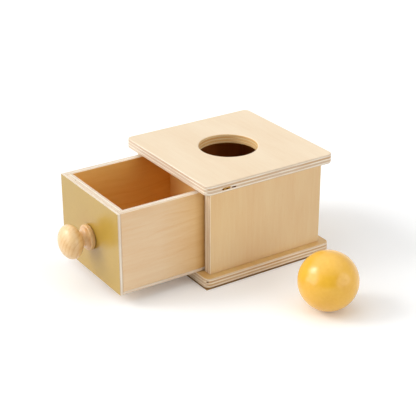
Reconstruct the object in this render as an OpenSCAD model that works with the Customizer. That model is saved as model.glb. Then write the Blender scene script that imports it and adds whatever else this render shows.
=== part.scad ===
// Object permanence box: a plywood box with a round drop hole in its top and a drawer
// below it, which catches the wooden ball. Z is up, X is to the right and the drawer pulls
// out towards -Y. The origin is the centre of the base's underside. The drawer stands
// partly open and the ball lies beside the box.

/* [Box] */
// Side of the square top and base panels
panel_w = 120; // [110:1:150]
// Thickness of the top and base panels
panel_t = 8; // [7:0.5:12]
// Radius of the panels' corners, seen from above
panel_corner_r = 5; // [2:0.5:12]
// How far the panels stand out past the side walls
side_overhang = 6; // [2:0.5:9]
// How far the panels stand out past the front and rear edges of the walls
end_overhang = 7; // [2:0.5:9]
// Thickness of the walls
wall_t = 8; // [6.5:0.5:10]
// Height of the walls between the panels
wall_h = 70; // [60:1:90]

/* [Ball] */
// Diameter of the ball
ball_d = 46; // [40:0.5:50]
// Gap between the ball and the drop hole, all round
ball_clearance = 0.8; // [0.5:0.1:3]
// How far the ball lies from the base's right edge
ball_stand_off = 49.5; // [5:0.5:80]

/* [Drawer] */
// Length of the drawer from its face to its back
drawer_d = 102; // [96:1:110]
// How far the drawer is pulled out of its closed place
drawer_pull = 70; // [40:1:85]
// Thickness of the drawer's two sides
drawer_side_t = 5.6; // [4.5:0.1:7]
// Thickness of the drawer's back
drawer_back_t = 5.6; // [4.5:0.1:7]
// Thickness of the painted facing on the drawer's front
facing_t = 2.8; // [2:0.2:5]
// Thickness of the front board behind the facing
drawer_front_t = 4.8; // [4:0.2:7]
// Thickness of the drawer's bottom
drawer_bottom_t = 2.8; // [2.4:0.2:4]

/* [Knob] */
// Diameter of the knob's round head
knob_head_d = 27.2; // [23:0.2:32]
// Thickness of the knob's head along its axis
knob_head_t = 17.4; // [14:0.2:19]
// Length of the knob from the drawer's face to its tip
knob_len = 25.4; // [24:0.2:30]
// Diameter of the collar that sits on the drawer's face
knob_collar_d = 20.4; // [18:0.2:22]
// Thickness of the collar at its rim
knob_collar_t = 4.2; // [2:0.1:4.6]
// Diameter of the neck between collar and head
knob_neck_d = 11; // [9:0.5:13]
// Height of the knob's axis above the drawer's underside
knob_rise = 31; // [25:0.5:38]

/* [Fasteners] */
// Diameter of the hidden wooden dowels
dowel_d = 4; // [3:0.5:4.5]
// Length of a dowel
dowel_len = 19; // [14:1:22]
// How deep a dowel goes into the face of the piece that it meets
dowel_blind = 5; // [3:0.5:5.5]
// Diameter of the wood screws under the base
screw_d = 3; // [2.5:0.5:3.5]
// Length of a wood screw with its head
screw_len = 25; // [18:1:30]
// Diameter of a wood screw's countersunk head
screw_head_d = 6; // [5:0.2:6.6]
// Distance of a side wall's fixings from its front and rear edges
side_fixing_inset = 18; // [16:1:24]
// Distance of the rear wall's fixings from its ends
rear_fixing_inset = 24; // [20:1:28]
// Diameter of the screw that holds the knob
knob_screw_d = 4; // [3:0.5:4.5]
// Diameter of the knob screw's flat round head
knob_screw_head_d = 9; // [8:0.5:11]
// Height of the knob screw's head
knob_screw_head_t = 2; // [1.5:0.1:2.5]
// How far the knob screw reaches into the knob
knob_screw_reach = 13; // [8:0.5:15]
// Diameter of the brads under the drawer
brad_d = 1.2; // [1:0.1:1.6]
// Diameter of a brad's head
brad_head_d = 2.2; // [1.8:0.1:2.6]
// Length of a brad
brad_len = 16; // [12:1:20]
// Distance of the end brads from the drawer's corners
brad_inset = 12; // [8:1:16]

/* [Fits] */
// Gap between the drawer and each side wall
drawer_side_gap = 1; // [0.5:0.1:1.5]
// Gap between the drawer's top edge and the top panel
drawer_top_gap = 2.6; // [1:0.1:3.5]
// Running gap under the drawer
drawer_run_gap = 0.3; // [0.3:0.05:0.5]
// Gap left behind the closed drawer
drawer_stop_gap = 0.5; // [0.3:0.1:1]
// Radial gap round dowels, screws and brads in their holes
fastener_fit = 0.05; // [0.02:0.01:0.1]
// How far a sunk head lies below its surface
head_recess = 0.3; // [0.1:0.1:0.5]

/* [Hidden] */
$fn = 96;

// How far a cut runs past the surface that it opens
overrun = 1;
// Turn between two points of the knob's round outline, in degrees
outline_step = 9;

// The box, worked out from its panels and walls
wall_len = panel_w - 2 * end_overhang;
bay_w = panel_w - 2 * side_overhang - 2 * wall_t;
wall_x = bay_w / 2 + wall_t / 2;
top_z = panel_t + wall_h;
rear_wall_y = wall_len / 2 - wall_t;
drop_hole_d = ball_d + 2 * ball_clearance;
side_fixings_y = [side_fixing_inset - wall_len / 2, wall_len / 2 - side_fixing_inset];
rear_fixings_x = [rear_fixing_inset - bay_w / 2, bay_w / 2 - rear_fixing_inset];
rear_dowel_height_shares = [1 / 4, 3 / 4];

// The drawer, worked out from the bay that it runs in
drawer_w = bay_w - 2 * drawer_side_gap;
drawer_h = wall_h - drawer_run_gap - drawer_top_gap;
drawer_z = panel_t + drawer_run_gap;
drawer_rear_y = rear_wall_y - drawer_stop_gap - drawer_pull;
drawer_face_y = drawer_rear_y - drawer_d;
drawer_side_y = drawer_face_y + facing_t;
drawer_side_len = drawer_d - facing_t;
drawer_inner_w = drawer_w - 2 * drawer_side_t;
drawer_side_z = drawer_z + drawer_bottom_t;
drawer_side_h = drawer_h - drawer_bottom_t;
knob_z = drawer_z + knob_rise;
front_total_t = facing_t + drawer_front_t;

// The knob's outline, from the drawer's face outwards
knob_head_h = knob_len - knob_head_t / 2;
knob_neck_rise = knob_head_h - knob_head_t / 2 - knob_collar_t;
knob_lip_r = knob_collar_t / 4;

// The brads' places under the drawer
brad_side_x = drawer_w / 2 - drawer_side_t / 2;
brad_side_y = [
    drawer_side_y + brad_inset,
    drawer_side_y + drawer_side_len / 2,
    drawer_side_y + drawer_side_len - brad_inset
];
brad_end_x = drawer_inner_w / 2 - brad_inset;
brad_end_y = [
    drawer_side_y + drawer_front_t / 2,
    drawer_side_y + drawer_side_len - drawer_back_t / 2
];

// A square panel with round corners, from z = 0 up
module panel(w, t, r) {
    linear_extrude(height = t) {
        square([w - 2 * r, w], center = true);
        square([w, w - 2 * r], center = true);
        for (x = [-1, 1], y = [-1, 1])
            translate([x * (w / 2 - r), y * (w / 2 - r)])
                circle(r = r);
    }
}

// A board centred on x = 0, from y = 0 and z = 0
module board(w, d, h) {
    translate([-w / 2, 0, 0])
        cube([w, d, h]);
}

// A straight hole or peg along +Z
module peg(d, len) {
    cylinder(d = d, h = len);
}

// Places its children over every fixing of the side and rear walls, seen from above
module at_wall_fixings() {
    at_side_fixings(-wall_x) children();
    at_side_fixings(wall_x) children();
    at_rear_fixings() children();
}

module at_side_fixings(x) {
    for (y = side_fixings_y)
        translate([x, y, 0])
            children();
}

module at_rear_fixings() {
    for (x = rear_fixings_x)
        translate([x, rear_wall_y + wall_t / 2, 0])
            children();
}

// Places its children at the joint of the rear wall with one side wall, with +Z outwards
module at_rear_dowels(side) {
    for (share = rear_dowel_height_shares)
        translate([side * bay_w / 2, rear_wall_y + wall_t / 2, panel_t + wall_h * share])
            rotate([0, side * 90, 0])
                children();
}

// One dowel upright, with its top end dowel_blind above z = 0
module dowel(fit) {
    translate([0, 0, dowel_blind - dowel_len - fit])
        peg(dowel_d + 2 * fit, dowel_len + 2 * fit);
}

// One countersunk wood screw, pointing up, with its head just above z = 0
module wood_screw(fit) {
    head_t = (screw_head_d - screw_d) / 2;
    point_t = screw_d;
    translate([0, 0, head_recess]) {
        cylinder(d1 = screw_head_d + 2 * fit, d2 = screw_d + 2 * fit, h = head_t);
        peg(screw_d + 2 * fit, screw_len - point_t);
        translate([0, 0, screw_len - point_t])
            cylinder(d1 = screw_d + 2 * fit, d2 = 2 * fit, h = point_t);
    }
    if (fit > 0)
        translate([0, 0, -overrun])
            peg(screw_head_d + 2 * fit, head_recess + overrun);
}

// One brad, pointing up, with its head just above z = 0
module brad(fit) {
    head_t = brad_d / 2;
    translate([0, 0, head_recess]) {
        peg(brad_head_d + 2 * fit, head_t);
        peg(brad_d + 2 * fit, brad_len);
    }
    if (fit > 0)
        translate([0, 0, -overrun])
            peg(brad_head_d + 2 * fit, head_recess + overrun);
}

// Places its children at the brads under the drawer, at the drawer's underside
module at_brads() {
    for (x = [-brad_side_x, brad_side_x], y = brad_side_y)
        translate([x, y, drawer_z])
            children();
    for (x = [-brad_end_x, brad_end_x], y = brad_end_y)
        translate([x, y, drawer_z])
            children();
}

// Places its children on the knob's axis, with z = 0 at the drawer's face and +Z outwards
module at_knob() {
    translate([0, drawer_face_y, knob_z])
        rotate([90, 0, 0])
            children();
}

// The knob's screw, from its head inside the drawer outwards to its tip in the knob
module knob_screw_shape(fit) {
    point_t = knob_screw_d / 2;
    translate([0, 0, -front_total_t]) {
        translate([0, 0, -knob_screw_head_t])
            cylinder(d1 = knob_screw_head_d - knob_screw_head_t, d2 = knob_screw_head_d, h = knob_screw_head_t);
        peg(knob_screw_d + 2 * fit, front_total_t + knob_screw_reach - point_t);
    }
    translate([0, 0, knob_screw_reach - point_t])
        cylinder(d1 = knob_screw_d + 2 * fit, d2 = 2 * fit, h = point_t + fit);
}

// The top panel, drilled for the ball, with blind holes for the dowels
module top_panel() {
    color([0.95, 0.88, 0.76])
        difference() {
            translate([0, 0, top_z])
                panel(panel_w, panel_t, panel_corner_r);
            translate([0, 0, top_z - overrun])
                peg(drop_hole_d, panel_t + 2 * overrun);
            translate([0, 0, top_z])
                at_wall_fixings()
                    dowel(fastener_fit);
        }
}

// The base panel, with countersunk holes for its screws
module base_panel() {
    color([0.9, 0.8, 0.65])
        difference() {
            panel(panel_w, panel_t, panel_corner_r);
            at_wall_fixings()
                wood_screw(fastener_fit);
        }
}

// One side wall, on the left with side = -1 and on the right with side = 1
module side_wall(side) {
    difference() {
        translate([side * wall_x, -wall_len / 2, panel_t])
            board(wall_t, wall_len, wall_h);
        at_side_fixings(side * wall_x) {
            wood_screw(fastener_fit);
            translate([0, 0, top_z])
                dowel(fastener_fit);
        }
        at_rear_dowels(side)
            dowel(fastener_fit);
    }
}

module left_wall() {
    color([0.87, 0.75, 0.57])
        side_wall(-1);
}

module right_wall() {
    color([0.87, 0.75, 0.57])
        side_wall(1);
}

// The rear wall, between the side walls
module rear_wall() {
    color([0.85, 0.72, 0.54])
        difference() {
            translate([0, rear_wall_y, panel_t])
                board(bay_w, wall_t, wall_h);
            at_rear_fixings() {
                wood_screw(fastener_fit);
                translate([0, 0, top_z])
                    dowel(fastener_fit);
            }
            for (side = [-1, 1])
                at_rear_dowels(side)
                    dowel(fastener_fit);
        }
}

// The dowels between the walls and the top panel
module top_dowels() {
    color([0.8, 0.65, 0.45])
        translate([0, 0, top_z])
            at_wall_fixings()
                dowel(0);
}

// The dowels between the rear wall and the side walls
module rear_wall_dowels() {
    color([0.8, 0.65, 0.45])
        for (side = [-1, 1])
            at_rear_dowels(side)
                dowel(0);
}

// The screws that hold the base to the walls
module base_screws() {
    color([0.75, 0.75, 0.72])
        at_wall_fixings()
            wood_screw(0);
}

// The painted facing, over the front ends of the drawer's sides and bottom
module drawer_facing() {
    color([0.74, 0.64, 0.34])
        difference() {
            translate([0, drawer_face_y, drawer_z])
                board(drawer_w, facing_t, drawer_h);
            at_knob()
                knob_screw_shape(fastener_fit);
        }
}

// The front board behind the facing, between the drawer's sides
module drawer_front() {
    color([0.9, 0.8, 0.65])
        difference() {
            translate([0, drawer_side_y, drawer_side_z])
                board(drawer_inner_w, drawer_front_t, drawer_side_h);
            at_knob()
                knob_screw_shape(fastener_fit);
            at_brads()
                brad(fastener_fit);
        }
}

// One side of the drawer, on the left with side = -1 and on the right with side = 1
module drawer_side(side) {
    difference() {
        translate([side * brad_side_x, drawer_side_y, drawer_side_z])
            board(drawer_side_t, drawer_side_len, drawer_side_h);
        at_brads()
            brad(fastener_fit);
    }
}

module drawer_left_side() {
    color([0.88, 0.76, 0.6])
        drawer_side(-1);
}

module drawer_right_side() {
    color([0.88, 0.76, 0.6])
        drawer_side(1);
}

// The drawer's back, between its sides
module drawer_back() {
    color([0.86, 0.74, 0.57])
        difference() {
            translate([0, drawer_rear_y - drawer_back_t, drawer_side_z])
                board(drawer_inner_w, drawer_back_t, drawer_side_h);
            at_brads()
                brad(fastener_fit);
        }
}

// The drawer's bottom, under its sides, front board and back
module drawer_bottom() {
    color([0.88, 0.78, 0.62])
        difference() {
            translate([0, drawer_side_y, drawer_z])
                board(drawer_w, drawer_side_len, drawer_bottom_t);
            at_brads()
                brad(fastener_fit);
        }
}

// The brads that hold the drawer's bottom
module drawer_brads() {
    color([0.7, 0.68, 0.62])
        at_brads()
            brad(0);
}

// The outline of the collar's rounded rim
function rim_points() = [
    for (a = [0 : outline_step : 90])
        [knob_collar_d / 2 - knob_lip_r * (1 - cos(a)), knob_collar_t - knob_lip_r * (1 - sin(a))]
];

// The hollow sweep from the collar's rim to the neck, a quarter of an ellipse
function sweep_points() = [
    for (a = [outline_step : outline_step : 90])
        [
            knob_collar_d / 2 - knob_lip_r - (knob_collar_d / 2 - knob_lip_r - knob_neck_d / 2) * sin(a),
            knob_collar_t + knob_neck_rise * (1 - cos(a))
        ]
];

// The head's outline from the neck to its tip, an ellipse
function head_points() =
    let (start = asin(knob_neck_d / knob_head_d))
    [
        for (k = [0 : outline_step : 180])
            let (a = start + (180 - start) * k / 180)
            [knob_head_d / 2 * sin(a), knob_head_h - knob_head_t / 2 * cos(a)]
    ];

// The turned knob: collar, hollow neck and flattened round head
module knob() {
    color([0.88, 0.71, 0.49])
        at_knob()
            difference() {
                rotate_extrude()
                    polygon(concat(
                        [[0, 0], [knob_collar_d / 2 - knob_lip_r / 2, 0], [knob_collar_d / 2, knob_lip_r / 2]],
                        rim_points(),
                        sweep_points(),
                        head_points()
                    ));
                knob_screw_shape(fastener_fit);
            }
}

module knob_screw() {
    color([0.75, 0.75, 0.72])
        at_knob()
            knob_screw_shape(0);
}

// The ball, lying on the floor beside the box
module ball() {
    color([0.95, 0.74, 0.25])
        translate([panel_w / 2 + ball_stand_off + ball_d / 2, 0, ball_d / 2])
            sphere(d = ball_d);
}

top_panel();
base_panel();
left_wall();
right_wall();
rear_wall();
top_dowels();
rear_wall_dowels();
base_screws();
drawer_facing();
drawer_front();
drawer_left_side();
drawer_right_side();
drawer_back();
drawer_bottom();
drawer_brads();
knob();
knob_screw();
ball();
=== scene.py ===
"""Finish for the object permanence box: plywood boards, painted facing, turned knob, ball and hardware."""

import math

import bmesh
import bpy
from bpy.props import FloatProperty, FloatVectorProperty, IntProperty, PointerProperty
from mathutils import Matrix, Vector


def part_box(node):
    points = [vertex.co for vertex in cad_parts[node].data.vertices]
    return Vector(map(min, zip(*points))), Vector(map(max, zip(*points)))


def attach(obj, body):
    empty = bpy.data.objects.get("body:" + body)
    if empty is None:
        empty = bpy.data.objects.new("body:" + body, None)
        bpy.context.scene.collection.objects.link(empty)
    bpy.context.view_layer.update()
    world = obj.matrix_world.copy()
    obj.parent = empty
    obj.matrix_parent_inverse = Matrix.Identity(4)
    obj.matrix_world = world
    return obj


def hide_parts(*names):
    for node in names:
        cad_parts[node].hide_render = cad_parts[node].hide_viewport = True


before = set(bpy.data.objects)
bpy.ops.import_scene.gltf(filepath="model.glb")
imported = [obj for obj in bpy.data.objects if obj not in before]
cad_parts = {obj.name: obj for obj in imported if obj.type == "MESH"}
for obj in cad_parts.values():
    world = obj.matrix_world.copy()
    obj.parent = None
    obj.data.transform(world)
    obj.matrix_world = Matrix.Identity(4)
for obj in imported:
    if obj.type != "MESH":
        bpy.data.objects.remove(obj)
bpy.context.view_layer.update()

bl_info = {
    "name": "Object Permanence Box Finish",
    "version": (1, 0, 0),
    "blender": (4, 5, 0),
    "location": "View3D > Sidebar > Permanence Box",
    "description": "Dresses the packed permanence box with plywood, paint, lacquer and hardware",
    "category": "Object",
}

MM = 0.001
X_AXIS = Vector((1, 0, 0))
Y_AXIS = Vector((0, 1, 0))
Z_AXIS = Vector((0, 0, 1))

# Places of the fixings, as in the part's source
SIDE_FIXING_YS = (-35 * MM, 35 * MM)
REAR_FIXING_Y = 49 * MM
REAR_FIXINGS = [(side * 22 * MM, REAR_FIXING_Y) for side in (-1, 1)]
WALL_FIXINGS = [(side * 50 * MM, y) for side in (-1, 1) for y in SIDE_FIXING_YS] + REAR_FIXINGS
REAR_DOWEL_HEIGHTS = (25.5 * MM, 60.5 * MM)
SIDE_BRADS = [(side * 42.2 * MM, y * MM) for side in (-1, 1) for y in (-112.7, -75.1, -37.5)]
END_BRADS = [(side * 27.4 * MM, y * MM) for side in (-1, 1) for y in (-122.3, -28.3)]
DRAWER_MIDDLE_Y = -60 * MM
KNOB_HEIGHT = 39.3 * MM
FACING_FRONT_Y = -127.5 * MM
FRONT_BOARD_INNER_Y = -119.9 * MM

# Sizes of the fixings, and their holes as steps of (depth, radius)
SCREW_HEAD_R = 3.0 * MM
BRAD_HEAD_R = 1.1 * MM
BRAD_R = 0.6 * MM
KNOB_SCREW_R = 2.0 * MM
HOLE_GAP = 0.05 * MM
HEAD_RECESS = 0.3 * MM
DOWEL_HOLE_R = 2.05 * MM
SCREW_HOLE_R = 1.55 * MM
BRAD_HOLE_R = 0.65 * MM
KNOB_SCREW_HOLE_R = KNOB_SCREW_R + HOLE_GAP
SHALLOW_DOWEL_HOLE = [(0, DOWEL_HOLE_R), (5.05 * MM, DOWEL_HOLE_R)]
DEEP_DOWEL_HOLE = [(0, DOWEL_HOLE_R), (14.05 * MM, DOWEL_HOLE_R)]
WALL_SCREW_HOLE = [(0, SCREW_HOLE_R), (14.3 * MM, SCREW_HOLE_R), (17.3 * MM, 0.1 * MM)]
BRAD_HOLE = [(0, BRAD_HOLE_R), (13.5 * MM, BRAD_HOLE_R)]

# Voids in the top panel's right edge, in mm: inset of the face they start in, y, z, depth, material index,
# tapers of their two steps, and the (angle, distance) of the cuts round them
GLUE_DEPTH = 0.25
DARK_TAPERS = (0.94, 0.7)
PANEL_PITS = (
    (0, -42.3, 81.2, GLUE_DEPTH, 1, (0.98, 0.98),
     ((10, 4.5), (60, 2.4), (90, 1.0), (125, 2.3), (175, 4.7), (235, 2.6), (270, 1.1), (318, 2.9))),
    (GLUE_DEPTH, -44.9, 80.7, 1.2, 2, DARK_TAPERS,
     ((10, 0.9), (80, 0.5), (150, 0.9), (215, 0.9), (280, 0.45), (330, 0.9))),
    (GLUE_DEPTH, -41.1, 80.7, 1.5, 2, DARK_TAPERS,
     ((0, 1.4), (75, 0.5), (110, 0.55), (180, 1.3), (262, 0.45), (320, 1.1))),
    (0, -35.6, 80.7, 1.3, 2, DARK_TAPERS,
     ((0, 2.3), (84, 0.55), (130, 1.3), (180, 2.4), (264, 0.55), (315, 1.5))),
)

# The void at the base's corner: its direction, half its spread, its lowest and highest points and its depth
CORNER_GAP_ANGLE = math.radians(42.5)
CORNER_GAP_SPREAD = math.radians(9.3)
CORNER_GAP_LOW = 4.9 * MM
CORNER_GAP_HIGH = 5.7 * MM
CORNER_GAP_DEPTH = 1.2 * MM

# The fitted camera of the photograph
CAMERA_PLACE = (0.72206, -0.49393, 0.44254)
CAMERA_BACKWARD = (0.75594, -0.49677, 0.42636)
CAMERA_RIGHTWARD = (0.54952, 0.83548, -0.00085)


def colour_property(name, description, default):
    return FloatVectorProperty(
        name=name, description=description, default=default, size=3, min=0, max=1, subtype="COLOR"
    )


def tone_property(name, description, *display):
    """A colour whose default is given as an 8-bit display colour."""
    shares = [value / 255 for value in display]
    return colour_property(
        name, description, [v / 12.92 if v <= 0.04045 else ((v + 0.055) / 1.055) ** 2.4 for v in shares]
    )


def length_property(name, description, default):
    return FloatProperty(
        name=name, description=description, default=default, min=0, precision=5, unit="LENGTH",
        subtype="DISTANCE"
    )


def strength_property(name, description, default):
    return FloatProperty(name=name, description=description, default=default, min=0)


class PermanenceBoxShape(bpy.types.PropertyGroup):
    """Sizes of the rounded edges and small marks that the CAD solids leave plain"""

    corner_radius: length_property("Panel corner", "Radius of the panels' corners, seen from above", 5 * MM)
    corner_segments: IntProperty(
        name="Corner segments", description="Facets round each corner of a panel", default=24, min=4
    )
    panel_arris: length_property("Panel arris", "Radius of the rounded edges of the two panels", 0.9 * MM)
    wall_arris: length_property("Wall arris", "Radius of the walls' upright front edges", 0.8 * MM)
    board_arris: length_property("Board arris", "Radius of the edges of the drawer's boards", 0.3 * MM)
    joint_groove: length_property("Joint groove", "Radius of the edges that meet another board", 0.4 * MM)
    drop_hole_radius: length_property("Drop hole", "Radius of the hole the ball drops through", 23.8 * MM)
    ball_dimple: length_property("Ball dimple", "Radius of the small dimple in the ball", 0.7 * MM)


class PermanenceBoxPlywood(bpy.types.PropertyGroup):
    """Colours and layers of the plywood"""

    top_pale: tone_property("Top pale", "Pale figure of the top panel's faces", 240, 219, 187)
    top_deep: tone_property("Top deep", "Deeper figure of the top panel's faces", 234, 208, 172)
    wall_pale: tone_property("Wall pale", "Pale figure of the walls' faces", 236, 206, 156)
    wall_deep: tone_property("Wall deep", "Deeper figure of the walls' faces", 230, 191, 138)
    drawer_pale: tone_property("Drawer pale", "Pale figure of the drawer's boards", 236, 207, 167)
    drawer_deep: tone_property("Drawer deep", "Deeper figure of the drawer's boards", 229, 189, 141)
    # Painted shade: the sides darken towards their rear end and where they run into the box, beside the wall
    rear_shade_pale: tone_property("Rear shade pale", "Pale figure near the rear end of the sides", 229, 189, 127)
    rear_shade_deep: tone_property("Rear shade deep", "Deeper figure near the rear end of the sides", 217, 166, 99)
    slot_shade_pale: tone_property("Slot shade pale", "Pale figure where the sides run in the box", 219, 168, 92)
    slot_shade_deep: tone_property("Slot shade deep", "Deeper figure where the sides run in the box", 204, 148, 72)
    base_pale: tone_property("Base pale", "Pale figure of the base's faces", 229, 193, 130)
    base_deep: tone_property("Base deep", "Deeper figure of the base's faces", 213, 167, 97)
    # Painted light: paler colours on the inside of the drawer's back
    back_lit_pale: tone_property("Back lit pale", "Pale figure of the inside of the drawer's back", 253, 218, 150)
    back_lit_deep: tone_property("Back lit deep", "Deeper figure of the inside of the drawer's back", 248, 202, 128)
    # Painted shade: darker, warmer colours on the drawer's inner faces
    inner_shade_pale: tone_property("Inner shade pale", "Pale figure of the drawer's inner faces", 242, 193, 110)
    inner_shade_deep: tone_property("Inner shade deep", "Deeper figure of the drawer's inner faces", 230, 173, 84)
    # Painted shade: much darker colours on the walls' inner faces
    box_inner_shade_pale: tone_property("Box inner shade pale", "Pale figure of the walls' inner faces", 190, 126, 62)
    box_inner_shade_deep: tone_property("Box inner shade deep", "Deeper figure of the walls' inner faces", 168, 102, 42)
    # Painted light: warmer plies in the drop hole, standing in for warm light bounced round it
    hole_bounce_pale: tone_property("Hole bounce pale", "Plies along their grain in the drop hole", 255, 222, 164)
    hole_bounce_tan: tone_property("Hole bounce tan", "Plies across their grain in the drop hole", 241, 183, 108)
    long_grain: tone_property("Long grain", "Edge of a ply that is cut along its grain", 248, 237, 218)
    end_grain: tone_property("End grain", "Edge of a ply that is cut across its grain", 211, 177, 142)
    end_grain_warm: tone_property("Warm end grain", "Patches of warmer end grain", 208, 166, 116)
    glue_line: tone_property("Glue line", "Glue between two plies", 178, 138, 100)
    glue_patch: tone_property("Glue patch", "Squeezed-out glue in a gap of the plies", 226, 166, 62)
    # Painted shade: dark brown deep in the gaps of the plies
    gap_shade_brown: tone_property("Gap shade brown", "Dark wood deep inside a gap of the plies", 136, 74, 14)
    face_veneer: length_property("Face veneer", "Thickness of the outer plies of 8 mm boards", 0.7 * MM)
    thin_veneer: length_property("Thin veneer", "Thickness of the outer plies of thin boards", 0.5 * MM)


class PermanenceBoxFinish(bpy.types.PropertyGroup):
    """Colours of the paint, the turned wood, the ball and the metal"""

    olive: tone_property("Olive paint", "Satin paint on the drawer's facing", 187, 151, 61)
    knob_pale: tone_property("Knob pale", "Pale grain of the turned knob", 245, 211, 157)
    knob_deep: tone_property("Knob deep", "Deeper grain of the turned knob", 202, 133, 36)
    ball_yellow: tone_property("Ball yellow", "Lacquer of the ball", 246, 191, 60)
    ball_amber: tone_property("Ball amber", "Deeper patches of the ball's lacquer", 234, 172, 38)
    dowel_pale: tone_property("Dowel pale", "Pale grain of the dowels", 226, 190, 144)
    dowel_deep: tone_property("Dowel deep", "Deeper grain of the dowels", 200, 155, 106)
    zinc: tone_property("Zinc", "Zinc plate of screws and brads", 205, 208, 210)


class PermanenceBoxStudio(bpy.types.PropertyGroup):
    """The camera, the lamps and the floor"""

    focal_length: FloatProperty(
        name="Focal length", description="Camera's focal length in millimetres", default=101.73, min=1
    )
    key_strength: strength_property("Key", "Strength of the small soft lamp", 0.72)
    canopy_strength: strength_property("Canopy", "Strength of the wide lamp on the left", 0.55)
    overhead_strength: strength_property("Overhead", "Strength of the wide lamp above", 1.0)
    front_strength: strength_property("Front", "Strength of the low lamp in front", 1.5)
    side_strength: strength_property("Side", "Strength of the lamp on the right", 1.28)
    fill_strength: strength_property("Fill", "Strength of the light from all round", 0.3)
    floor_gap: length_property("Floor gap", "Thin shadow gap between the box and the floor", 0.9 * MM)
    floor_colour: colour_property("Floor", "Colour of the floor as the camera sees it", (0.955, 0.985, 1.0))
    floor_bounce: colour_property("Floor bounce", "Colour of the light thrown back by the floor", (0.85,) * 3)
    # Painted shadow: dark brown floor under the base and just past its edges
    floor_painted_shadow: colour_property("Painted floor shadow", "Floor colour below the base", (0.42, 0.25, 0.09))
    floor_lift: colour_property("Floor lift", "Light that the floor shows in its shadows", (0.11, 0.09, 0.08))


# Shader tools


def opaque(colour, share=1.0):
    """A colour, or a share of it, with the alpha that a socket takes."""
    return (*(value * share for value in colour), 1.0)


class Net:
    """A shader node tree, with a short call for each kind of node"""

    def __init__(self, tree):
        self.tree = tree

    def feed(self, node, feeds):
        """Feeds a node's inputs from sockets or plain values."""
        for key, value in feeds.items():
            if isinstance(value, bpy.types.NodeSocket):
                self.tree.links.new(value, node.inputs[key])
            else:
                node.inputs[key].default_value = value

    def add(self, kind, feeds=None, **settings):
        """Adds a node, applies its settings and feeds its inputs."""
        node = self.tree.nodes.new("ShaderNode" + kind)
        for name, value in settings.items():
            setattr(node, name, value)
        self.feed(node, feeds or {})
        return node

    def math(self, operation, first, second=0.0, third=0.0, clamp=False):
        feeds = {0: first, 1: second, 2: third}
        return self.add("Math", feeds, operation=operation, use_clamp=clamp).outputs[0]

    def vector(self, operation, first, second):
        return self.add("VectorMath", {0: first, 1: second}, operation=operation).outputs[0]

    def mix(self, share, first, second):
        """Mixes two colours."""
        return self.add("Mix", {0: share, 6: first, 7: second}, data_type="RGBA").outputs[2]

    def blend(self, share, first, second):
        """Mixes two values."""
        return self.add("Mix", {0: share, 2: first, 3: second}, data_type="FLOAT").outputs[0]

    def ramp(self, value, start, end, low=0.0, high=1.0, smooth=False):
        feeds = {"Value": value, "From Min": start, "From Max": end, "To Min": low, "To Max": high}
        kind = "SMOOTHSTEP" if smooth else "LINEAR"
        return self.add("MapRange", feeds, interpolation_type=kind).outputs["Result"]

    def noise(self, vector, scale, detail=2.0, roughness=0.5):
        """Noise about 0.5. A scale that isn't one number stretches the field along each axis."""
        if not isinstance(scale, float):
            vector = self.vector("MULTIPLY", vector, scale)
            scale = 1.0
        feeds = {"Vector": vector, "Scale": scale, "Detail": detail, "Roughness": roughness}
        return self.add("TexNoise", feeds).outputs["Fac"]

    def sway(self, share, field, amount, clamp=False):
        """A share moved by a noise field's distance from its middle."""
        return self.math("MULTIPLY_ADD", self.math("SUBTRACT", field, 0.5), amount, share, clamp)

    def split(self, vector):
        return self.add("SeparateXYZ", {"Vector": vector}).outputs

    def reorder(self, vector, axes):
        """A vector with its parts in another order."""
        parts = self.split(vector)
        return self.add("CombineXYZ", {k: parts[axis] for k, axis in enumerate(axes)}).outputs[0]

    def use(self, effect, feeds):
        """Adds one of the shared effects; returns its outputs."""
        return self.add("Group", feeds, node_tree=shared_group(*effect)).outputs


class MaterialNet(Net):
    """The net of a new material, with its Principled shader and its coordinates"""

    def __init__(self, name, values=None):
        self.material = bpy.data.materials.new(name)
        self.material.use_nodes = True
        super().__init__(self.material.node_tree)
        self.tree.nodes.clear()
        self.shader = self.add("BsdfPrincipled", values)
        self.add("OutputMaterial", {"Surface": self.shader.outputs["BSDF"]})
        self.coordinates = self.add("TexCoord").outputs
        self.place = self.coordinates["Object"]

    def surface(self, colour, roughness, height, strength, distance):
        """Feeds the shader and returns the material."""
        bump = self.add("Bump", {"Strength": strength, "Distance": distance, "Height": height})
        feeds = {"Base Color": colour, "Roughness": roughness, "Normal": bump.outputs["Normal"]}
        self.feed(self.shader, feeds)
        return self.material


# Shared effects: each draws a colour, a roughness and a height from what it is given


def shared_group(name, inputs, draw):
    """The node group of an effect, drawn when it is first asked for."""
    group = bpy.data.node_groups.get(name)
    if group:
        return group
    group = bpy.data.node_groups.new(name, "ShaderNodeTree")
    for key, default in inputs.items():
        kind = {3: "Vector", 4: "Color"}[len(default)] if isinstance(default, tuple) else "Float"
        socket = group.interface.new_socket(name=key, in_out="INPUT", socket_type="NodeSocket" + kind)
        socket.default_value = default
    for key, kind in (("Color", "Color"), ("Roughness", "Float"), ("Height", "Float")):
        group.interface.new_socket(name=key, in_out="OUTPUT", socket_type="NodeSocket" + kind)
    colour, roughness, height = draw(Net(group), group.nodes.new("NodeGroupInput").outputs)
    outlet = group.nodes.new("NodeGroupOutput")
    Net(group).feed(outlet, {"Color": colour, "Roughness": roughness, "Height": height})
    return group


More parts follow.
